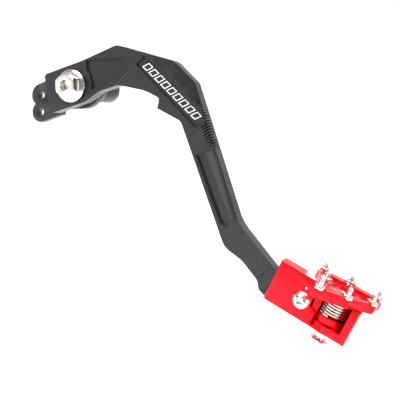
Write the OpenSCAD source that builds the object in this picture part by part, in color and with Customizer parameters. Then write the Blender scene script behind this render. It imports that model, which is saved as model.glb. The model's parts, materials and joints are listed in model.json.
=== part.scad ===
// Rear brake pedal for an off-road motorcycle, with a spring-folding studded tip.
// Origin: on the pivot axis, at the face that seats on the motorcycle frame.
// +X runs forward along the tip block, +Y inboard to the motorcycle, +Z up. Millimetres.

/* [Pivot] */
// Y of the outer face of the arm, measured outwards from the frame
arm_face_y = -43.5; // [-44.5:0.1:-42.5]
// Radius of the hub tube that is pressed into the arm
tube_r = 8.4; // [8.2:0.1:8.8]
// Y of the inboard end of the hub tube
tube_end_y = -13.8; // [-15:0.1:-13.6]
// Radius of the hard sleeve that the bushes turn on
sleeve_r = 5.5; // [5.3:0.1:5.6]
// Length of the sleeve's end collar
collar_len = 13.2; // [12:0.1:13.3]
// Radius of the pivot bolt's shank
bolt_r = 4; // [3.8:0.1:4]
// Length of bolt that screws into the motorcycle frame
bolt_reach = 5.5; // [5:0.1:8]
// Radius of the bolt's flange
flange_r = 10; // [9:0.1:10.4]

/* [Arm] */
// Thickness of the arm
arm_t = 8; // [7.6:0.1:8.4]
// Thickness of the tongue inside the tip block
tongue_t = 6.5; // [6:0.1:6.6]
// Depth of the milled pockets
pocket_depth = 1.5; // [1:0.1:2]
// Fall of the sloped band along the front edge
facet_drop = 2; // [1.5:0.1:2.4]

/* [Push-rod lever] */
// Y of the lever's outer face
lever_y = -32.5; // [-33:0.1:-32]
// Thickness of the lever
lever_t = 5; // [4.5:0.1:5.5]
// Radius of the two clevis holes
clevis_r = 2.5; // [2.2:0.1:2.7]

/* [Tip block] */
// X of the left end of the block
block_x0 = 166.5; // [166:0.1:167]
// X of the right end of the block
block_x1 = 217.6; // [217:0.1:218]
// Height of the bottom of the block
block_z0 = -51.2; // [-51.5:0.1:-51]
// Height of the top of the block's left part
block_z1 = -27.3; // [-27.5:0.1:-27]
// Thickness of the block's left part
block_t = 12.5; // [12.3:0.1:13]
// X of the tip bolt's axis
tip_x = 203; // [202.8:0.1:203.2]
// Distance from the block's front face in to the tip bolt's axis
tip_inset = 10.2; // [10:0.1:10.4]
// Radius of the tip bolt
tip_bolt_r = 3; // [2.8:0.1:3]

/* [Folding tip] */
// Height of the platform's top
deck_z1 = -25.3; // [-25.5:0.1:-25]
// Thickness of the platform
deck_t = 5.7; // [5.5:0.1:5.7]
// Radius of the lobes that carry the studs
lobe_r = 3.1; // [3:0.1:3.2]
// Width of the platform's rims
rim_w = 5.4; // [5:0.1:5.6]
// Radius of the grip pins
stud_r = 1.4; // [1.2:0.1:1.4]
// Height of the pins' points above the platform
stud_rise = 5.6; // [5:0.1:6]

/* [Spring] */
// Radius of the spring wire
wire_r = 0.7; // [0.5:0.05:0.7]
// Radius of the coils at the middle of the wire
coil_r = 8.3; // [8.2:0.05:8.3]
// Number of coils
coil_turns = 5; // [4:1:5]
// Rise of one coil
coil_pitch = 1.6; // [1.5:0.05:1.65]

/* [Hidden] */
$fn = 72;

// Colours
anodised_black = [0.13, 0.13, 0.14];
anodised_red = [0.85, 0.12, 0.16];
steel = [0.8, 0.8, 0.8];
bronze = [0.72, 0.53, 0.3];
rubber = [0.1, 0.1, 0.1];
nylon = [0.85, 0.85, 0.82];

// Small gaps
slip = 0.05;            // radial running clearance
thrust_gap = 0.15;      // between faces that slide on each other
seat_gap = 0.3;         // between parts that only meet at a stop
eps = 0.01;

// Pivot stack, from the outside in
arm_back_y = arm_face_y + arm_t;
washer_y0 = arm_face_y - 1.4;
washer_t = 1.1;
flange_t = 1.6;
flange_y0 = washer_y0 - flange_t;
head_h = 5.8;
head_af = 13;
head_socket_af = 6;
sleeve_y0 = washer_y0 + washer_t;
tube_bore_r = sleeve_r + 1;
bush_len = 10;
seal_t = 1.6;
seal_gap = 0.2;
collar_chamfer = 1;
thread_relief = 0.4;
thread_lead = 0.6;

// Tip block
block_y0 = arm_face_y - 3;
block_y1 = block_y0 + block_t;
tip_y = block_y0 + tip_inset;
block_floor_z = deck_z1 - deck_t - seat_gap;
block_round = 2.5;
slot_side_gap = 0.05;
slot_x1 = 192.6;
slot_top_z = -34.3;
front_lip_t = 1.1;
lip_end_x = 189.9;
sweep_r = 23;
post_r = 10.2;
post_top_z = -46.7;
groove_r = 12.3;
groove_depth = 4;
groove_floor_z = block_z0 + 1.3;
flare_r = 15.1;
flare_z = -41;
cavity_r = 9.7;
window_x1 = 213.2;
window_in = 9.5;
barrel_r = 11;
end_flat = 7;

// Screw through block and tongue
screw_x = 186.4;
screw_z = -41;
screw_r = 3;
screw_head_r = 5.25;
screw_head_h = 3.3;
small_socket_af = 4;

// Tip bolt stack, from the top down
deck_z0 = deck_z1 - deck_t;
disc_r = 7.3;
disc_t = 1.45;
disc_top_z = deck_z1 - 2.9;
web_top_z = disc_top_z - disc_t - thrust_gap;
deck_pocket_r = disc_r + seat_gap;
floor_z = deck_z1 - 1.9;
hub_r = 6;
hub_spigot_r = 5;
collar_top_z = -42.2;
collar_r = 9;
thrust_washer_t = 0.5;
collar_base_z = post_top_z + 0.25;
spigot_end_z = post_top_z + thrust_washer_t + thrust_gap;
bush_or = 4;
nut_top_z = -57.5;
nut_h = 6;
nut_af = 10;
bolt_end_z = nut_top_z - nut_h - 0.8;
insert_h = 1.6;

// Spring: the upper leg runs along the block's lip and comes out through its face
wire_sides = 8;
turn_steps = 20;
coil_base_z = collar_top_z + wire_r + 0.05;
coil_top_z = coil_base_z + coil_turns * coil_pitch;
leg_x = 186.2 - tip_x;
leg_bend_r = 1.4;

// Studs, as X and Y from the tip bolt's axis; the last value is the height of its washer
studs = [
    [-16.8, 9.6, 1.1], [-10.6, -4.4, 0.6], [-8.6, -22.6, 0], [-0.9, 12.5, 1.1],
    [4.9, -12.1, 0], [16.2, 14, 0.6], [15.8, 2.4, 0],
];
rim_order = [0, 3, 5, 6, 4, 2, 1];
spot_r = 3.7;
spot_depth = 1;
spot_z = deck_z1 - spot_depth;
stud_nut_af = 5.5;
stud_nut_h = 1.9;
stud_washer_r = 2.95;

// Across-flats size to the radius of a hexagon's corners
function hex_r(af) = af / sqrt(3);

// Corner rounding: each point of an outline is [x, y, radius]
arc_steps = 8;
function flat(p) = [p.x, p.y];
function unit(v) = v / norm(v);
function short_way(a) = a > 180 ? a - 360 : a < -180 ? a + 360 : a;
function arc(centre, start, end) =
    let (a = atan2(start.y, start.x), turn = short_way(atan2(end.y, end.x) - a))
    [for (i = [0:arc_steps]) centre + norm(start) * [cos(a + turn * i / arc_steps), sin(a + turn * i / arc_steps)]];
function corner(before, at, after, r) =
    let (u = unit(before - at), v = unit(after - at), half = acos(u * v) / 2)
    let (centre = at + unit(u + v) * r / sin(half), reach = r / tan(half))
    arc(centre, at + u * reach - centre, at + v * reach - centre);
function rounded(points) = [
    for (i = [0:len(points) - 1])
        let (p = points[i], before = points[(i + len(points) - 1) % len(points)])
        let (after = points[(i + 1) % len(points)])
        each (p[2] > 0 ? corner(flat(before), flat(p), flat(after), p[2]) : [flat(p)])
];

// Outlines in X and Z
arm_outline = [
    // top edge, from the pivot end to the block
    [-21.9, -2.4, 2], [0, 17, 40], [17.7, 35, 7], [56.5, 42.1, 8], [74, 36.8, 6], [134.2, -21.8, 26],
    [166.3, -34.9, 0],
    // tongue
    [slot_x1 - 0.2, -34.9, 1], [slot_x1 - 0.2, -49.6, 3], [166.3, -49.6, 0],
    // bottom edge, back to the pivot
    [166.3, -50.9, 0], [161.6, -49.3, 3], [158.9, -45.4, 5], [145.5, -39.9, 18], [132.8, -38.6, 13],
    [76.2, 13.2, 4], [59.1, 13.2, 0.3], [57.7, 19.1, 2], [47.5, 19.1, 30], [28.9, 14.2, 15],
    [18.6, 5, 14], [12.2, -5, 14], [-7.6, -22.4, 2.5],
];
pocket_front = [[2, 17.8, 1], [24.6, 29.8, 3.5], [31.9, 23.4, 5], [12, 2.6, 1]];
pocket_slot = [[34.3, 30, 1.5], [37.4, 37.2, 1.5], [87.4, 22, 3], [90, 18.4, 2], [86.7, 13.6, 2.5]];
pocket_long = [[93.1, 0, 1.2], [101.6, 7.6, 2], [131.6, -23.6, 2], [125.8, -29.2, 2.5]];
pocket_deep = [[94.1, 0, 1], [98.4, 4, 1], [129.7, -23.7, 1.5], [125.9, -28.2, 2]];
pocket_hub_r = 13.8;

// Clevis holes of the lever, and the radius of metal around each
clevis = [[-26.1, -17.7, 7.2], [-21.9, -27.7, 6.4]];
lever_ring_r = 13.4;
lever_web = [
    [-9.4, 9.6], [-31.3, -12.7], flat(clevis[0]), flat(clevis[1]), [-18.2, -32.9],
    [-6.8, -22.2], [-7.6, -19], [4, -12.8], [0, 0],
];

// A flat outline in X and Z, thickened from y0 inwards to y1
module slab(y0, y1) translate([0, y1, 0]) rotate([90, 0, 0]) linear_extrude(y1 - y0) children();

// A shape built upwards, laid down to run inboard from y0
module inboard(y0) translate([0, y0, 0]) rotate([-90, 0, 0]) children();

// A ring along the pivot axis
module ring_y(outer, inner, y0, y1) {
    inboard(y0) difference() {
        cylinder(r = outer, h = y1 - y0);
        translate([0, 0, -1]) cylinder(r = inner, h = y1 - y0 + 2);
    }
}

// A ring about a vertical axis, between two heights
module ring_z(outer, inner, z0, z1) {
    translate([0, 0, z0]) difference() {
        cylinder(r = outer, h = z1 - z0);
        translate([0, 0, -1]) cylinder(r = inner, h = z1 - z0 + 2);
    }
}

// A column about a vertical axis, between two heights
module column(r, z0, z1) translate([0, 0, z0]) cylinder(r = r, h = z1 - z0);

module at_tip() translate([tip_x, tip_y, 0]) children();

// ---- fixed to the motorcycle frame ----

module pivot_bolt() {
    color(steel) inboard(flange_y0 - head_h) difference() {
        union() {
            intersection() {
                cylinder(r = hex_r(head_af), h = head_h + eps, $fn = 6);
                cylinder(r1 = head_af / 2 - 0.2, r2 = head_af / 2 - 0.2 + 3 * head_h, h = 3 * head_h / 2);
            }
            translate([0, 0, head_h]) cylinder(r1 = flange_r - 1.6, r2 = flange_r, h = flange_t / 2);
            translate([0, 0, head_h + flange_t / 2]) cylinder(r = flange_r, h = flange_t / 2);
            cylinder(r = bolt_r - thread_relief, h = head_h - flange_y0 + eps);
            translate([0, 0, head_h - flange_y0]) cylinder(r = bolt_r, h = bolt_reach - thread_lead);
            translate([0, 0, head_h - flange_y0 + bolt_reach - thread_lead])
                cylinder(r1 = bolt_r, r2 = bolt_r - thread_lead, h = thread_lead);
        }
        translate([0, 0, -1]) cylinder(r = hex_r(head_socket_af), h = 4.6, $fn = 6);
    }
}

module pivot_washer() color(steel) ring_y(flange_r - 0.6, bolt_r + slip, washer_y0, sleeve_y0);

module pivot_sleeve() {
    color(anodised_black) rotate([-90, 0, 0]) rotate_extrude() polygon([
        [bolt_r + slip, sleeve_y0], [sleeve_r, sleeve_y0], [sleeve_r, -collar_len],
        [tube_r, -collar_len], [tube_r, -collar_chamfer], [tube_r - collar_chamfer, 0], [bolt_r + slip, 0],
    ]);
}

// ---- pedal ----

// The sloped band along the front edge falls from a line on the face towards the edge
module facet(from, to, width, drop) {
    span = to - from;
    translate([from.x, arm_face_y, from.y]) rotate([0, -atan2(span.y, span.x), 0])
        rotate([90, 0, 90]) linear_extrude(norm(span))
            polygon([[0, 0], [drop, width], [-2, width], [-2, 0]]);
}

module pedal_arm() {
    color(anodised_black) difference() {
        slab(arm_face_y, arm_back_y) polygon(rounded(arm_outline));
        // hub bore
        inboard(arm_face_y - 1) cylinder(r = tube_r, h = arm_t + 2);
        // pockets
        slab(arm_face_y - 1, arm_face_y + pocket_depth) difference() {
            polygon(rounded(pocket_front));
            circle(r = pocket_hub_r);
        }
        slab(arm_face_y - 1, arm_face_y + pocket_depth) polygon(rounded(pocket_slot));
        slab(arm_face_y - 1, arm_face_y + pocket_depth / 2) polygon(rounded(pocket_long));
        slab(arm_face_y - 1, arm_face_y + pocket_depth * 1.4) polygon(rounded(pocket_deep));
        // sloped bands above the slot and down the front edge
        facet([44, 37.1], [86, 24.6], 14, facet_drop);
        facet([80.5, 28.8], [131.7, -21.6], 6, facet_drop);
        // tongue, thinned on its back where it enters the block
        translate([block_x0 - 0.2, arm_face_y + tongue_t, -60]) cube([40, arm_t, 40]);
        translate([screw_x, 0, screw_z]) inboard(arm_face_y - 1) cylinder(r = screw_r + slip, h = arm_t + 2);
    }
}

module pivot_tube() color(anodised_black) ring_y(tube_r, tube_bore_r, arm_face_y, tube_end_y);

module outer_bush() {
    y0 = arm_face_y + seal_t + 2 * seal_gap;
    color(bronze) ring_y(tube_bore_r, sleeve_r + slip, y0, y0 + bush_len);
}

module inner_bush() {
    y1 = tube_end_y - seal_t - 2 * seal_gap;
    color(bronze) ring_y(tube_bore_r, sleeve_r + slip, y1 - bush_len, y1);
}

module outer_seal() {
    y0 = arm_face_y + seal_gap;
    color(rubber) ring_y(tube_bore_r, sleeve_r + slip, y0, y0 + seal_t);
}

module inner_seal() {
    y1 = tube_end_y - seal_gap;
    color(rubber) ring_y(tube_bore_r, sleeve_r + slip, y1 - seal_t, y1);
}

module pushrod_lever() {
    color(anodised_black) slab(lever_y, lever_y + lever_t) difference() {
        union() {
            circle(r = lever_ring_r);
            for (hole = clevis) translate(flat(hole)) circle(r = hole[2]);
            polygon(lever_web);
        }
        circle(r = tube_r);
        for (hole = clevis) translate(flat(hole)) circle(r = clevis_r);
    }
}

// Plan of the block: a flat part for the tongue and a barrel round the tip bolt
module block_plan() {
    translate([block_x0, block_y0]) square([tip_x - block_x0, block_t]);
    translate([tip_x, tip_y]) circle(r = barrel_r);
    reach = norm([block_x1 - tip_x, end_flat - tip_inset]);
    lean = atan2(end_flat - tip_inset, block_x1 - tip_x) + acos(barrel_r / reach);
    polygon([
        [tip_x - 4, block_y0], [block_x1, block_y0], [block_x1, block_y0 + end_flat],
        [tip_x + barrel_r * cos(lean), tip_y + barrel_r * sin(lean)], [tip_x, tip_y],
    ]);
}

// Rounds a vertical or lengthwise edge: the waste outside a quarter round of radius r
module edge_waste(r, length) {
    difference() {
        translate([-1, -1, 0]) cube([r + 1, r + 1, length]);
        translate([r, r, -1]) cylinder(r = r, h = length + 2);
    }
}

module tip_holder() {
    height = block_z1 - block_z0;
    color(anodised_red) difference() {
        translate([0, 0, block_z0]) linear_extrude(height) block_plan();
        // front left upright edge and rear top edge of the flat part
        translate([block_x0, block_y0, block_z0 - 1]) edge_waste(block_round, height + 2);
        translate([block_x0 - 1, block_y1, block_z1]) rotate([180, 0, 0]) rotate([90, 0, 90])
            edge_waste(block_round, tip_x - barrel_r - block_x0);
        // slot for the tongue, open at the left end and below
        translate([block_x0 - 1, arm_face_y - slot_side_gap, block_z0 - 1])
            cube([slot_x1 - block_x0 + 1, tongue_t + 2 * slot_side_gap, slot_top_z - block_z0 + 1]);
        // floor under the folding platform, with a thin lip left along the front
        at_tip() intersection() {
            column(sweep_r, block_floor_z, block_z1 + 1);
            translate([-sweep_r, front_lip_t - tip_inset, block_floor_z]) cube(2 * sweep_r);
        }
        translate([lip_end_x, block_y0 - 1, block_floor_z]) cube([40, 40, 10]);
        // space for the spring and its collar, open at the front
        at_tip() column(cavity_r, post_top_z, block_z1 + 1);
        at_tip() intersection() {
            union() {
                column(groove_r, post_top_z, flare_z - 2 + eps);
                translate([0, 0, flare_z - 2]) cylinder(r1 = groove_r, r2 = flare_r, h = 2);
                column(flare_r, flare_z - eps, block_z1 + 1);
            }
            translate([-20, -20, -60]) cube([20 + eps, 20 - tip_inset + 3, 60]);
        }
        translate([tip_x, block_y0 - 1, post_top_z])
            cube([window_x1 - tip_x, window_in + 1, block_z1 - post_top_z + 1]);
        // groove round the post, on the tongue's side
        at_tip() intersection() {
            ring_z(groove_r, post_r, groove_floor_z, post_top_z + eps);
            translate([-20, -20, -60]) cube([20, 20 - tip_inset + groove_depth, 60]);
        }
        // channel and exit for the spring's upper leg
        translate([tip_x + leg_x, tip_y - coil_r - wire_r - slip, coil_top_z - wire_r - slip])
            cube([-leg_x, 2 * (wire_r + slip), block_floor_z - coil_top_z + wire_r + 1]);
        translate([tip_x + leg_x, block_y0 - 1, coil_top_z]) rotate([-90, 0, 0])
            cylinder(r = wire_r + slip, h = tip_inset - coil_r + 1 + wire_r);
        // holes for the tip bolt and the cross screw
        at_tip() column(tip_bolt_r + slip, block_z0 - 1, post_top_z + 1);
        translate([screw_x, 0, screw_z]) inboard(block_y0 - 1) cylinder(r = screw_r, h = block_t + 2);
    }
}

// Domed head with a hexagon socket, standing up from z = 0
module button_head(r, h) {
    dome_r = (r * r + h * h) / (2 * h);
    intersection() {
        translate([0, 0, h - dome_r]) sphere(r = dome_r);
        cylinder(r = r, h = h);
    }
}

module tip_screw() {
    color(steel) translate([screw_x, block_y0, screw_z]) rotate([90, 0, 0]) difference() {
        union() {
            button_head(screw_head_r, screw_head_h);
            translate([0, 0, -block_t]) cylinder(r = screw_r, h = block_t + 0.5);
        }
        translate([0, 0, screw_head_h - 2]) cylinder(r = hex_r(small_socket_af), h = 3, $fn = 6);
    }
}

module tip_bolt() {
    color(steel) at_tip() difference() {
        union() {
            column(disc_r, disc_top_z - disc_t, disc_top_z);
            column(tip_bolt_r, bolt_end_z, disc_top_z - disc_t + eps);
        }
        translate([0, 0, disc_top_z - 2]) cylinder(r = hex_r(small_socket_af), h = 3, $fn = 6);
    }
}

module thrust_washer() {
    color(steel) at_tip() ring_z(hub_r, tip_bolt_r + slip, post_top_z, post_top_z + thrust_washer_t);
}

// Wire centre line: out through the face, along the lip, then down round the coils
function spring_path() = [
    [leg_x, -tip_inset - 0.3, coil_top_z],
    for (i = [0:4]) [
        leg_x + leg_bend_r * (1 - cos(i * 22.5)), -coil_r - leg_bend_r * (1 - sin(i * 22.5)), coil_top_z
    ],
    for (i = [0:coil_turns * turn_steps])
        let (a = -90 + i * 360 / turn_steps)
        [coil_r * cos(a), coil_r * sin(a), coil_top_z - i * coil_pitch / turn_steps],
];

module swept_wire(path, r, sides) {
    last = len(path) - 1;
    rings = [
        for (i = [0:last])
            let (along = unit(path[min(i + 1, last)] - path[max(i - 1, 0)]))
            let (side = unit(cross(along, [0, 0, 1])), up = cross(side, along))
            for (k = [0:sides - 1]) path[i] + r * (cos(k * 360 / sides) * side + sin(k * 360 / sides) * up)
    ];
    walls = [
        for (i = [0:last - 1], k = [0:sides - 1])
            let (a = i * sides + k, b = i * sides + (k + 1) % sides)
            each [[a, b, b + sides], [a, b + sides, a + sides]]
    ];
    start_cap = [for (k = [sides - 1:-1:0]) k];
    end_cap = [for (k = [0:sides - 1]) last * sides + k];
    polyhedron(rings, concat(walls, [start_cap, end_cap]));
}

module torsion_spring() color(steel) at_tip() swept_wire(spring_path(), wire_r, wire_sides);

module lock_nut() {
    color(steel) at_tip() translate([0, 0, nut_top_z - nut_h]) difference() {
        intersection() {
            cylinder(r = hex_r(nut_af), h = nut_h - eps, $fn = 6);
            cylinder(r1 = nut_af / 2 - 0.2, r2 = nut_af / 2 + 2 * nut_h - 0.2, h = nut_h);
            cylinder(r1 = nut_af / 2 + 2 * nut_h - 0.2, r2 = nut_af / 2 - 0.2, h = nut_h);
        }
        translate([0, 0, -1]) cylinder(r = tip_bolt_r, h = nut_h + 2);
        translate([0, 0, -1]) cylinder(r = tip_bolt_r + 0.8, h = insert_h + 1);
    }
}

module nut_insert() {
    z0 = nut_top_z - nut_h;
    color(nylon) at_tip() ring_z(tip_bolt_r + 0.8, tip_bolt_r, z0, z0 + insert_h);
}

// ---- folding tip ----

module rim(from, to, width) {
    span = to - from;
    translate(from) rotate(atan2(span.y, span.x)) translate([0, -width / 2]) square([norm(span), width]);
}

module platform_rims() {
    for (i = [0:len(rim_order) - 1])
        rim(flat(studs[rim_order[i]]), flat(studs[rim_order[(i + 1) % len(rim_order)]]), rim_w);
    for (s = studs) translate(flat(s)) circle(r = lobe_r);
}

module platform_floor() {
    polygon([for (i = rim_order) flat(studs[i])]);
}

// Opening through the platform, between the rims and ahead of the bolt's disc
module platform_window() {
    polygon([[9.4, -4.6], [13.2, -0.4], [13.2, 9.6], [9.4, 9.6]]);
}

module cleat_frame() {
    color(anodised_red) at_tip() difference() {
        union() {
            translate([0, 0, deck_z0]) linear_extrude(deck_t) platform_rims();
            translate([0, 0, deck_z0]) linear_extrude(floor_z - deck_z0) platform_floor();
            column(hub_r, collar_top_z, deck_z0 + eps);
            column(hub_spigot_r, spigot_end_z, collar_top_z + eps);
        }
        column(deck_pocket_r, web_top_z, deck_z1 + 1);
        column(bush_or, spigot_end_z - 1, web_top_z + 1);
        translate([0, 0, deck_z0 - 1]) linear_extrude(deck_t + 2) platform_window();
        for (s = studs) translate(flat(s)) {
            column(spot_r, spot_z, deck_z1 + 1);
            column(stud_r, deck_z0 - 1, deck_z1 + 1);
        }
    }
}

module spring_collar() {
    color(anodised_red) at_tip() difference() {
        column(collar_r, collar_base_z, collar_top_z);
        column(hub_spigot_r, collar_base_z - 1, collar_top_z + 1);
        column(hub_r + seat_gap, collar_base_z - 1, spigot_end_z);
    }
}

module cleat_bush() {
    color(bronze) at_tip() ring_z(bush_or, tip_bolt_r + slip, spigot_end_z, web_top_z);
}

module cleat_studs() {
    point_z = deck_z1 + stud_rise;
    color(steel) at_tip() for (s = studs) translate(flat(s)) rotate_extrude()
        polygon(concat(
            [[0, deck_z0 + 0.1], [stud_r, deck_z0 + 0.1]],
            [for (a = [0:15:90]) [stud_r * cos(a), point_z - stud_r + stud_r * sin(a)]]
        ));
}

module stud_nuts() {
    color(steel) at_tip() for (s = studs) translate([s.x, s.y, spot_z + s[2]]) difference() {
        cylinder(r = hex_r(stud_nut_af), h = stud_nut_h, $fn = 6);
        translate([0, 0, -1]) cylinder(r = stud_r, h = stud_nut_h + 2);
    }
}

module stud_washers() {
    color(steel) at_tip() for (s = studs) if (s[2] > 0)
        translate(flat(s)) ring_z(stud_washer_r, stud_r, spot_z, spot_z + s[2]);
}

pivot_bolt();
pivot_washer();
pivot_sleeve();
pedal_arm();
pivot_tube();
outer_bush();
inner_bush();
outer_seal();
inner_seal();
pushrod_lever();
tip_holder();
tip_screw();
tip_bolt();
thrust_washer();
torsion_spring();
lock_nut();
nut_insert();
cleat_frame();
spring_collar();
cleat_bush();
cleat_studs();
stud_nuts();
stud_washers();
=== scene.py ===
"""Rear brake pedal with a spring-folding tip: finishes, hardware detail and studio."""
import json
import math

import bpy
from mathutils import Matrix, Vector


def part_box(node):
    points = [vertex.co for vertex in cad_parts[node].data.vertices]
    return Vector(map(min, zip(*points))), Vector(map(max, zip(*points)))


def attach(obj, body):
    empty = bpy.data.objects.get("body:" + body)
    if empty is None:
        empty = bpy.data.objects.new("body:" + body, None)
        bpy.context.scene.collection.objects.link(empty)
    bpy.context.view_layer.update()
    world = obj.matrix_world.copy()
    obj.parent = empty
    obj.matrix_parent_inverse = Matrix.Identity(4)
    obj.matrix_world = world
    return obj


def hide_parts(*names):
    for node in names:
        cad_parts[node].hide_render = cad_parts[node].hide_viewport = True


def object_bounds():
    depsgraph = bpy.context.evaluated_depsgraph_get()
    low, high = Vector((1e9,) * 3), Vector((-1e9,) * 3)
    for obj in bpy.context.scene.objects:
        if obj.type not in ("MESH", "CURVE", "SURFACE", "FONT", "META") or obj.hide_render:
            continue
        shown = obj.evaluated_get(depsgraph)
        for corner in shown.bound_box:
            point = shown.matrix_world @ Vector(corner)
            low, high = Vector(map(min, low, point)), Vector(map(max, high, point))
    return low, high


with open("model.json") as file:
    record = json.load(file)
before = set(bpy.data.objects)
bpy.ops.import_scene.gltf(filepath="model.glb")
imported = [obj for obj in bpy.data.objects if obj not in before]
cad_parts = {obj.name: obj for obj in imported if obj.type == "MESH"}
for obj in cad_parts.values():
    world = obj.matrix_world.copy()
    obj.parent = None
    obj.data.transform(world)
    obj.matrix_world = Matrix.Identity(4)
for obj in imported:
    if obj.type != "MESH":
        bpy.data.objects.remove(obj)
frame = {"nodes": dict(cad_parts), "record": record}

bl_info = {
    "name": "Rear brake pedal",
    "version": (1, 0, 0),
    "blender": (4, 5, 0),
    "location": "View3D > Sidebar > Brake pedal",
    "description": "Dresses the machined brake pedal and sets up its studio",
    "category": "Object",
}

CAD_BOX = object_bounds()
MM = 0.001
BODY_OF = {node: body for body, nodes in frame["record"]["behaviour"]["bodies"].items() for node in nodes}

# The arm's outer face
FACE_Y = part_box("pedal_arm")[0].y

# Cleaning a CAD mesh
WELD = 0.002 * MM
FLAT_ANGLE = math.radians(0.4)


# ---- small tools ----

def activate(piece):
    """Select only this piece and make it the active one."""
    if bpy.context.object and bpy.context.object.mode != "OBJECT":
        bpy.ops.object.mode_set(mode="OBJECT")
    bpy.ops.object.select_all(action="DESELECT")
    piece.select_set(True)
    bpy.context.view_layer.objects.active = piece


def finish_modifier(piece, kind, **settings):
    """Add a modifier with its settings and apply it."""
    activate(piece)
    modifier = piece.modifiers.new(kind.title(), kind)
    for name, value in settings.items():
        setattr(modifier, name, value)
    bpy.ops.object.modifier_apply(modifier=modifier.name)


def clean_copy(node):
    """A welded copy of a CAD node's mesh, with its flat faces whole again."""
    source = frame["nodes"][node]
    piece = bpy.data.objects.new(node + "_finish", source.data.copy())
    bpy.context.scene.collection.objects.link(piece)
    activate(piece)
    bpy.ops.object.mode_set(mode="EDIT")
    bpy.ops.mesh.select_all(action="SELECT")
    bpy.ops.mesh.remove_doubles(threshold=WELD)
    bpy.ops.mesh.dissolve_limited(angle_limit=FLAT_ANGLE)
    bpy.ops.object.mode_set(mode="OBJECT")
    return piece


def stand_for(piece, node, material):
    """Let the piece stand for a CAD node, on the same body."""
    piece.data.materials.clear()
    piece.data.materials.append(material)
    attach(piece, BODY_OF[node])
    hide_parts(node)
    return piece


def smooth(piece, degrees=35.0):
    """Smooth shading that keeps edges sharper than the angle."""
    activate(piece)
    bpy.ops.object.shade_smooth_by_angle(angle=math.radians(degrees))


def dressed_node(node, material, edge_mm, segments=2, sharp_from=28.0):
    """A CAD node with its edges broken by a small bevel."""
    piece = clean_copy(node)
    finish_modifier(
        piece, "BEVEL", width=edge_mm * MM, segments=segments, limit_method="ANGLE",
        angle_limit=math.radians(sharp_from), use_clamp_overlap=True, harden_normals=False,
    )
    smooth(piece)
    return stand_for(piece, node, material)


def paint_node(node, material):
    """Give a CAD node that keeps its own mesh its finish."""
    mesh = frame["nodes"][node].data
    mesh.materials.clear()
    mesh.materials.append(material)


def join(pieces):
    """Join pieces into the first one."""
    activate(pieces[0])
    for piece in pieces[1:]:
        piece.select_set(True)
    bpy.ops.object.join()
    return bpy.context.object


# ---- materials ----

def linear(hex_text):
    """An sRGB hex colour as linear RGBA."""
    parts = [int(hex_text[i:i + 2], 16) / 255 for i in (1, 3, 5)]
    return tuple(p / 12.92 if p <= 0.04045 else ((p + 0.055) / 1.055) ** 2.4 for p in parts) + (1.0,)


def add(tree, kind, inputs=None, **settings):
    """Add a shader node, set its fields, and fill or link its inputs."""
    made = tree.nodes.new(kind)
    for name, value in settings.items():
        setattr(made, name, value)
    for name, value in (inputs or {}).items():
        if isinstance(value, bpy.types.NodeSocket):
            tree.links.new(value, made.inputs[name])
        else:
            made.inputs[name].default_value = value
    return made


def new_material(name):
    """An empty node material with its output."""
    material = bpy.data.materials.new(name)
    material.use_nodes = True
    material.node_tree.nodes.clear()
    return material, material.node_tree, material.node_tree.nodes.new("ShaderNodeOutputMaterial")


def object_noise(tree, size_mm, detail=2.0, stretch=(1, 1, 1)):
    """Noise with features of a real size, on the object's own coordinates."""
    place = add(tree, "ShaderNodeTexCoord")
    mapped = add(tree, "ShaderNodeMapping", {"Vector": place.outputs["Object"], "Scale": stretch})
    return add(tree, "ShaderNodeTexNoise", {
        "Vector": mapped.outputs["Vector"], "Scale": 1 / (size_mm * MM), "Detail": detail,
    })


def remap(tree, socket, low, high):
    """Spread a 0 to 1 value over a new range."""
    return add(tree, "ShaderNodeMapRange", {"Value": socket, "To Min": low, "To Max": high}).outputs["Result"]


def tint(tree, socket, dark, light):
    """A colour between two, by a 0 to 1 value."""
    mix = add(tree, "ShaderNodeMix", {"Factor": socket}, data_type="RGBA")
    mix.inputs["A"].default_value = linear(dark)
    mix.inputs["B"].default_value = linear(light)
    return mix.outputs["Result"]


def anodised_material(name, dark, light, metallic, rough_low, rough_high, grain_mm=0.35):
    """Anodised aluminium: dyed oxide over a fine machined grain, so colour and gloss vary a little."""
    made, tree, out = new_material(name)
    cloud = object_noise(tree, 9.0)
    grain = object_noise(tree, grain_mm, detail=3.0)
    bump = add(tree, "ShaderNodeBump", {
        "Height": grain.outputs["Fac"], "Strength": 0.12, "Distance": 0.03 * MM,
    })
    surface = add(tree, "ShaderNodeBsdfPrincipled", {
        "Base Color": tint(tree, cloud.outputs["Fac"], dark, light),
        "Metallic": metallic,
        "Roughness": remap(tree, grain.outputs["Fac"], rough_low, rough_high),
        "Normal": bump.outputs["Normal"],
    })
    tree.links.new(surface.outputs["BSDF"], out.inputs["Surface"])
    return made


def metal_material(name, dark, light, rough_low, rough_high, turned=False):
    """Bare metal: bright, with fine turning or drawing marks in its gloss."""
    made, tree, out = new_material(name)
    marks = object_noise(tree, 0.5, detail=3.0, stretch=(1, 1, 6) if turned else (1, 1, 1))
    bump = add(tree, "ShaderNodeBump", {
        "Height": marks.outputs["Fac"], "Strength": 0.15, "Distance": 0.02 * MM,
    })
    surface = add(tree, "ShaderNodeBsdfPrincipled", {
        "Base Color": tint(tree, marks.outputs["Fac"], dark, light),
        "Metallic": 1.0,
        "Roughness": remap(tree, marks.outputs["Fac"], rough_low, rough_high),
        "Normal": bump.outputs["Normal"],
    })
    tree.links.new(surface.outputs["BSDF"], out.inputs["Surface"])
    return made


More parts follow.
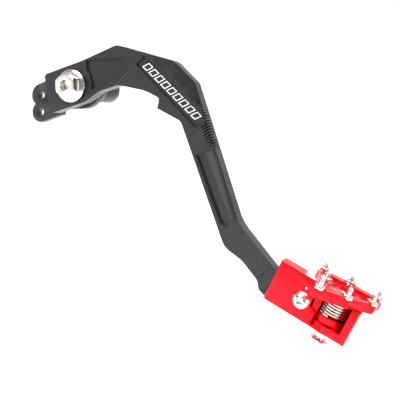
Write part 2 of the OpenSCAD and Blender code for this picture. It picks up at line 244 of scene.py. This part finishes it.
def plain_material(name, dark, light, rough_low, rough_high, size_mm=0.6):
    """Ink, rubber or nylon: no metal, slight mottling."""
    made, tree, out = new_material(name)
    mottle = object_noise(tree, size_mm)
    surface = add(tree, "ShaderNodeBsdfPrincipled", {
        "Base Color": tint(tree, mottle.outputs["Fac"], dark, light),
        "Roughness": remap(tree, mottle.outputs["Fac"], rough_low, rough_high),
    })
    tree.links.new(surface.outputs["BSDF"], out.inputs["Surface"])
    return made


MATERIALS = {}


def finish_of(name):
    """The finish of that name, made once."""
    makers = {
        # a dark dye hides the metal under it and leaves a soft sheen
        "black anodised aluminium": lambda n: anodised_material(n, "#0E0E10", "#161619", 0.0, 0.3, 0.44),
        # the metal shines through a clear red dye
        "red anodised aluminium": lambda n: anodised_material(n, "#E01420", "#F01C28", 0.85, 0.24, 0.34),
        # bright, slightly warm hardware
        "bright zinc-plated steel": lambda n: metal_material(n, "#C9C4BF", "#E6E2DD", 0.14, 0.26),
        "spring wire": lambda n: metal_material(n, "#BDB8B0", "#DCD8D0", 0.16, 0.3),
        "turned bronze": lambda n: metal_material(n, "#A8804A", "#C2985C", 0.25, 0.4, turned=True),
        "nitrile rubber": lambda n: plain_material(n, "#0B0B0B", "#131313", 0.6, 0.8),
        "nylon": lambda n: plain_material(n, "#C9C9C0", "#DCDCD4", 0.45, 0.6),
        "white enamel ink": lambda n: plain_material(n, "#DADADC", "#EFEFF0", 0.4, 0.5),
    }
    if name not in MATERIALS:
        MATERIALS[name] = makers[name](name)
    return MATERIALS[name]


# ---- settings a user would change ----

class PedalSettings(bpy.types.PropertyGroup):
    """Sizes and finishes of the pedal's visible detail."""
    groove_pitch: bpy.props.FloatProperty(
        name="Groove pitch", description="Distance between the milled passes, in mm",
        default=1.6, min=1.0, max=3.0)
    groove_depth: bpy.props.FloatProperty(
        name="Groove depth", description="Depth of the milled passes, in mm",
        default=0.28, min=0.02, max=0.4)
    edge_break: bpy.props.FloatProperty(
        name="Edge break", description="Width of the broken edges, in mm", default=0.35, min=0.1, max=0.6)
    bar_count: bpy.props.IntProperty(
        name="Bars", description="Slanted bars printed in the slot", default=9, min=3, max=14)
    floor_drop: bpy.props.FloatProperty(
        name="Floor drop", description="How far the floor lies under the part",
        default=0.16, min=0.0, max=1.0, unit="LENGTH")


# ---- arm ----

GROOVE_TURN = math.radians(68.0)      # direction of the milled passes in the X-Z plane, from +X
GROOVE_START = Vector((31.0, 30.0)) * MM
GROOVE_END = Vector((166.0, -48.0)) * MM
GROOVE_HALF = 0.3                     # half a groove's width, as a share of the pitch
ON_PLACE = 0.02 * MM                  # how near counts as on the face or on a groove's middle


def cut_grooves(piece, pitch, depth):
    """Mill shallow V grooves across the arm's outer face, all in one direction."""
    along = Vector((math.cos(GROOVE_TURN), 0, math.sin(GROOVE_TURN)))
    across = Vector((along.z, 0, -along.x))
    first = across.dot(Vector((GROOVE_START.x, 0, GROOVE_START.y)))
    last = across.dot(Vector((GROOVE_END.x, 0, GROOVE_END.y)))
    half = pitch * GROOVE_HALF
    activate(piece)
    bpy.ops.object.mode_set(mode="EDIT")
    count = int((last - first) / pitch)
    for i in range(count):
        for shift in (-half, 0.0, half):
            bpy.ops.mesh.select_all(action="SELECT")
            bpy.ops.mesh.bisect(plane_co=across * (first + i * pitch + shift), plane_no=across)
    bpy.ops.object.mode_set(mode="OBJECT")
    for vertex in piece.data.vertices:
        if abs(vertex.co.y - FACE_Y) > ON_PLACE:
            continue
        pass_number = (across.dot(vertex.co) - first) / pitch
        middle = round(pass_number)
        if abs(pass_number - middle) * pitch < ON_PLACE and 0 <= middle < count:
            vertex.co.y += depth


COMB_TURN = math.radians(59.0)
COMB_LINE = (
    (53.0, 35.4), (79.3, 26.4), (84.8, 24.5), (88.1, 21.3), (89.6, 15.7), (97.6, 8.6), (103.4, 8.4),
    (131.7, -20.0),
)
COMB_DEEP_FROM = 84.0                     # X where the shallow passes give way to the deep teeth
COMB_EDGES = (((56.5, 42.1), (74.0, 36.8)), ((74.0, 36.8), (134.2, -21.8)))
TOOTH = 0.52                              # share of the pitch that is cut away
DEEP_TEETH = (0.7, 6.2)                   # depth at a tooth's inner end and at the edge, in mm
SHALLOW_PASSES = (0.25, 1.5)
ABOVE_FACE = -2                           # the cutters start this far in front of the face
PAST_EDGE = 4


def edge_distance(start, way, edge):
    """How far the arm's outer edge lies from start, along way."""
    (ax, az), (bx, bz) = edge
    across = Vector((bz - az, ax - bx))
    return across.dot(Vector((ax, az)) - start) / across.dot(way)


def tooth_cutter(start, way, side, width, profile):
    """A block that cuts one tooth gap: its floor sinks as it runs out to the edge."""
    corners = [
        (start.x + way.x * along + side.x * w, FACE_Y / MM + depth, start.y + way.y * along + side.y * w)
        for w in (-width / 2, width / 2) for along, depth in profile
    ]
    n = len(profile)
    faces = [list(range(n)), list(range(2 * n - 1, n - 1, -1))]
    faces += [[i, i + n, (i + 1) % n + n, (i + 1) % n] for i in range(n)]
    return [Vector(c) * MM for c in corners], faces


def cut_comb(piece, pitch):
    """Cut the row of teeth along the arm's front edge, as one boolean."""
    way = Vector((math.cos(COMB_TURN), math.sin(COMB_TURN)))
    side = Vector((way.y, -way.x))
    vertices, faces = [], []
    reach = [side.dot(Vector(p)) for p in COMB_LINE]
    s = reach[0]
    while s < reach[-1]:
        leg = max(i for i in range(len(reach) - 1) if reach[i] <= s)
        share = (s - reach[leg]) / (reach[leg + 1] - reach[leg])
        start = Vector(COMB_LINE[leg]).lerp(Vector(COMB_LINE[leg + 1]), share)
        span = min(abs(edge_distance(start, way, edge)) for edge in COMB_EDGES)
        low, sink = DEEP_TEETH if start.x > COMB_DEEP_FROM else SHALLOW_PASSES
        out = span + PAST_EDGE
        profile = [(0, ABOVE_FACE), (out, ABOVE_FACE), (out, sink), (span, sink), (0, low)]
        points, sides = tooth_cutter(start, way, side, pitch * TOOTH, profile)
        faces += [[i + len(vertices) for i in face] for face in sides]
        vertices += points
        s += pitch
    mesh = bpy.data.meshes.new("comb_cutter")
    mesh.from_pydata(vertices, [], faces)
    cutter = bpy.data.objects.new("comb_cutter", mesh)
    bpy.context.scene.collection.objects.link(cutter)
    activate(cutter)
    bpy.ops.object.mode_set(mode="EDIT")
    bpy.ops.mesh.select_all(action="SELECT")
    bpy.ops.mesh.normals_make_consistent(inside=False)
    bpy.ops.object.mode_set(mode="OBJECT")
    finish_modifier(piece, "BOOLEAN", operation="DIFFERENCE", object=cutter, solver="EXACT")
    activate(cutter)
    bpy.ops.object.delete()


class PEDAL_OT_arm(bpy.types.Operator):
    """Dress the dog-leg arm: comb teeth, milled passes, broken edges, black anodising"""
    bl_idname = "pedal.arm"
    bl_label = "Arm"

    def execute(self, context):
        settings = context.scene.pedal_settings
        piece = clean_copy("pedal_arm")
        finish_modifier(
            piece, "BEVEL", width=settings.edge_break * MM, segments=2, limit_method="ANGLE",
            angle_limit=math.radians(28), use_clamp_overlap=True,
        )
        cut_comb(piece, settings.groove_pitch)
        cut_grooves(piece, settings.groove_pitch * MM, settings.groove_depth * MM)
        smooth(piece, 20)
        stand_for(piece, "pedal_arm", finish_of("black anodised aluminium"))
        return {"FINISHED"}


class PEDAL_OT_pivot(bpy.types.Operator):
    """Dress the pivot: tube, sleeve, lever, bolt, bushes and seals"""
    bl_idname = "pedal.pivot"
    bl_label = "Pivot and lever"

    def execute(self, context):
        black = finish_of("black anodised aluminium")
        for node in ("pivot_tube", "pivot_sleeve", "pushrod_lever"):
            dressed_node(node, black, 0.3, segments=3)
        steel = finish_of("bright zinc-plated steel")
        bolt = clean_copy("pivot_bolt")
        finish_modifier(bolt, "BEVEL", width=0.18 * MM, segments=3, limit_method="ANGLE",
                        angle_limit=math.radians(25), use_clamp_overlap=True)
        smooth(bolt)
        stand_for(bolt, "pivot_bolt", steel)
        dressed_node("pivot_washer", steel, 0.15)
        for node in ("outer_bush", "inner_bush", "cleat_bush"):
            paint_node(node, finish_of("turned bronze"))
        for node in ("outer_seal", "inner_seal"):
            paint_node(node, finish_of("nitrile rubber"))
        return {"FINISHED"}


class PEDAL_OT_tip_block(bpy.types.Operator):
    """Dress the red block that holds the folding tip, with its screw"""
    bl_idname = "pedal.tip_block"
    bl_label = "Tip block"

    def execute(self, context):
        dressed_node("tip_holder", finish_of("red anodised aluminium"), 0.35, segments=3)
        dressed_node("tip_screw", finish_of("bright zinc-plated steel"), 0.15, segments=2)
        return {"FINISHED"}


class PEDAL_OT_tip_bolt(bpy.types.Operator):
    """Dress the tip bolt, its lock nut and the thrust washer"""
    bl_idname = "pedal.tip_bolt"
    bl_label = "Tip bolt and nut"

    def execute(self, context):
        steel = finish_of("bright zinc-plated steel")
        dressed_node("tip_bolt", steel, 0.2, segments=3)
        dressed_node("lock_nut", steel, 0.25, segments=3)
        paint_node("thrust_washer", steel)
        paint_node("nut_insert", finish_of("nylon"))
        return {"FINISHED"}


class PEDAL_OT_spring(bpy.types.Operator):
    """Give the torsion spring its finish"""
    bl_idname = "pedal.spring"
    bl_label = "Torsion spring"

    def execute(self, context):
        paint_node("torsion_spring", finish_of("spring wire"))
        return {"FINISHED"}


class PEDAL_OT_cleat(bpy.types.Operator):
    """Dress the folding platform and its spring collar"""
    bl_idname = "pedal.cleat"
    bl_label = "Folding platform"

    def execute(self, context):
        red = finish_of("red anodised aluminium")
        dressed_node("cleat_frame", red, 0.3, segments=3)
        dressed_node("spring_collar", red, 0.25, segments=3)
        return {"FINISHED"}


class PEDAL_OT_studs(bpy.types.Operator):
    """Dress the grip studs, their nuts and washers"""
    bl_idname = "pedal.studs"
    bl_label = "Studs"

    def execute(self, context):
        steel = finish_of("bright zinc-plated steel")
        dressed_node("cleat_studs", steel, 0.1)
        dressed_node("stud_nuts", steel, 0.3, segments=2)
        dressed_node("stud_washers", steel, 0.1)
        return {"FINISHED"}


# ---- slanted bars in the slot ----

BAR_START = Vector((39.5, 32.6)) * MM
BAR_END = Vector((85.6, 19.3)) * MM
SLOT_DEPTH = 1.5 * MM
BAR_HEIGHT = 4.6 * MM
BAR_LEAN = 0.45
INK = 0.05 * MM
INK_LIFT = 0.005 * MM                 # clear of the floor, so that the two never share a plane
BAR_SHARE = 0.74                      # a bar's width, as a share of its step
BAR_LINE = 0.55 * MM


class PEDAL_OT_bars(bpy.types.Operator):
    """Print a row of plain slanted bars on the slot's floor"""
    bl_idname = "pedal.bars"
    bl_label = "Slanted bars"

    def execute(self, context):
        count = context.scene.pedal_settings.bar_count
        run = BAR_END - BAR_START
        step = run.length / count
        direction = run.normalized()
        bars = []
        for i in range(count):
            bpy.ops.object.select_all(action="DESELECT")
            bpy.ops.mesh.primitive_plane_add(size=1)
            bar = bpy.context.object
            bpy.ops.object.mode_set(mode="EDIT")
            bpy.ops.transform.resize(value=(step * BAR_SHARE, BAR_HEIGHT, 1))
            bpy.ops.mesh.inset(thickness=BAR_LINE)
            bpy.ops.mesh.delete(type="FACE")
            bpy.ops.mesh.select_all(action="SELECT")
            bpy.ops.mesh.extrude_region_move(TRANSFORM_OT_translate={"value": (0, 0, INK)})
            bpy.ops.mesh.select_all(action="SELECT")
            bpy.ops.mesh.normals_make_consistent(inside=False)
            bpy.ops.object.mode_set(mode="OBJECT")
            centre = BAR_START + direction * step * (i + 0.5)
            for vertex in bar.data.vertices:
                u = vertex.co.x + BAR_LEAN * vertex.co.y
                v = vertex.co.y
                vertex.co = Vector((
                    centre.x + direction.x * u - direction.y * v,
                    FACE_Y + SLOT_DEPTH - vertex.co.z + INK_LIFT,
                    centre.y + direction.y * u + direction.x * v,
                ))
            bars.append(bar)
        printed = join(bars)
        printed.name = "slot_bars"
        printed.data.materials.clear()
        printed.data.materials.append(finish_of("white enamel ink"))
        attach(printed, "pedal")
        return {"FINISHED"}


# ---- stage ----

CAMERA_PLACE = Vector((271.12, -468.81, 96.59)) * MM
CAMERA_RIGHT = Vector((0.80962, 0.42428, 0.40559))
CAMERA_UP = Vector((-0.47298, 0.0624, 0.87886))
CAMERA_LENS = 73.8
FLOOR_GLOW = 0.45      # lifts the paper to the surround's white, so that no horizon shows
FRONT_SURROUND = 0.3   # the studio is dim behind the camera and white behind the part
FLOOR_SIZE = 8
STUDIO_MIDDLE = (0.1, -0.03, 0.0)
SOFT_BOXES = (         # name, place, width, height, watts
    ("key_box", (-0.25, -0.55, 0.6), 0.5, 0.5, 9),
    ("side_box", (0.75, -0.25, 0.35), 0.3, 0.6, 5),
    ("top_box", (0.1, 0.15, 0.8), 0.8, 0.6, 8),
)


def aim(place, target):
    """A turn that points a light's -Z from place to target."""
    return (Vector(target) - Vector(place)).to_track_quat("-Z", "Y").to_euler()


def soft_box(name, place, target, width, height, watts):
    """A rectangular soft box aimed at a point."""
    bpy.ops.object.light_add(type="AREA", location=place, rotation=aim(place, target))
    box = bpy.context.object
    box.name = name
    box.data.shape = "RECTANGLE"
    box.data.size = width
    box.data.size_y = height
    box.data.energy = watts
    return box


class PEDAL_OT_stage(bpy.types.Operator):
    """Set the camera, the pale floor and the soft studio light"""
    bl_idname = "pedal.stage"
    bl_label = "Studio"

    def execute(self, context):
        scene = context.scene
        right = CAMERA_RIGHT.normalized()
        back = right.cross(CAMERA_UP).normalized()
        up = back.cross(right)
        turn = Matrix((right, up, back)).transposed().to_4x4()
        bpy.ops.object.camera_add()
        camera = bpy.context.object
        camera.matrix_world = Matrix.Translation(CAMERA_PLACE) @ turn
        camera.data.lens = CAMERA_LENS
        camera.data.sensor_width = 36.0
        scene.camera = camera

        low = CAD_BOX[0]
        drop = scene.pedal_settings.floor_drop
        bpy.ops.mesh.primitive_plane_add(size=FLOOR_SIZE, location=(0.1, 0, low[2] - drop))
        floor = bpy.context.object
        floor.name = "studio_floor"
        paper, tree, out = new_material("white paper")
        surface = add(tree, "ShaderNodeBsdfPrincipled", {
            "Base Color": linear("#F4F4F4"), "Roughness": 0.9,
            "Emission Color": (1, 1, 1, 1), "Emission Strength": FLOOR_GLOW,
        })
        tree.links.new(surface.outputs["BSDF"], out.inputs["Surface"])
        floor.data.materials.append(paper)

        for name, place, width, height, watts in SOFT_BOXES:
            soft_box(name, place, STUDIO_MIDDLE, width, height, watts)

        world = bpy.data.worlds.new("studio_surround")
        scene.world = world
        world.use_nodes = True
        world.node_tree.nodes.clear()
        way = world.node_tree.nodes.new("ShaderNodeTexCoord")
        split = add(world.node_tree, "ShaderNodeSeparateXYZ", {"Vector": way.outputs["Generated"]})
        level = add(world.node_tree, "ShaderNodeMapRange", {
            "Value": split.outputs["Y"], "From Min": -0.5, "From Max": 0.2,
            "To Min": FRONT_SURROUND, "To Max": 1.0,
        })
        light = add(world.node_tree, "ShaderNodeBackground", {
            "Color": (1, 1, 1, 1), "Strength": level.outputs["Result"],
        })
        end = world.node_tree.nodes.new("ShaderNodeOutputWorld")
        world.node_tree.links.new(light.outputs["Background"], end.inputs["Surface"])
        scene.view_settings.view_transform = "Standard"
        return {"FINISHED"}


class PEDAL_PT_panel(bpy.types.Panel):
    """Buttons for each group of pieces"""
    bl_idname = "PEDAL_PT_panel"
    bl_label = "Brake pedal"
    bl_space_type = "VIEW_3D"
    bl_region_type = "UI"
    bl_category = "Brake pedal"

    def draw(self, context):
        settings = context.scene.pedal_settings
        for name in ("groove_pitch", "groove_depth", "edge_break", "bar_count", "floor_drop"):
            self.layout.prop(settings, name)
        for operator in OPERATORS:
            self.layout.operator(operator.bl_idname)


OPERATORS = (
    PEDAL_OT_stage, PEDAL_OT_arm, PEDAL_OT_bars, PEDAL_OT_pivot, PEDAL_OT_tip_block, PEDAL_OT_tip_bolt,
    PEDAL_OT_spring, PEDAL_OT_cleat, PEDAL_OT_studs,
)
CLASSES = (PedalSettings, *OPERATORS, PEDAL_PT_panel)


def register():
    for cls in CLASSES:
        bpy.utils.register_class(cls)
    bpy.types.Scene.pedal_settings = bpy.props.PointerProperty(type=PedalSettings)


def unregister():
    del bpy.types.Scene.pedal_settings
    for cls in reversed(CLASSES):
        bpy.utils.unregister_class(cls)


def main():
    """Dress the part and set up its studio."""
    register()
    bpy.ops.pedal.stage()
    bpy.ops.pedal.arm()
    bpy.ops.pedal.bars()
    bpy.ops.pedal.pivot()
    bpy.ops.pedal.tip_block()
    bpy.ops.pedal.tip_bolt()
    bpy.ops.pedal.spring()
    bpy.ops.pedal.cleat()
    bpy.ops.pedal.studs()


if __name__ == "__main__":
    main()
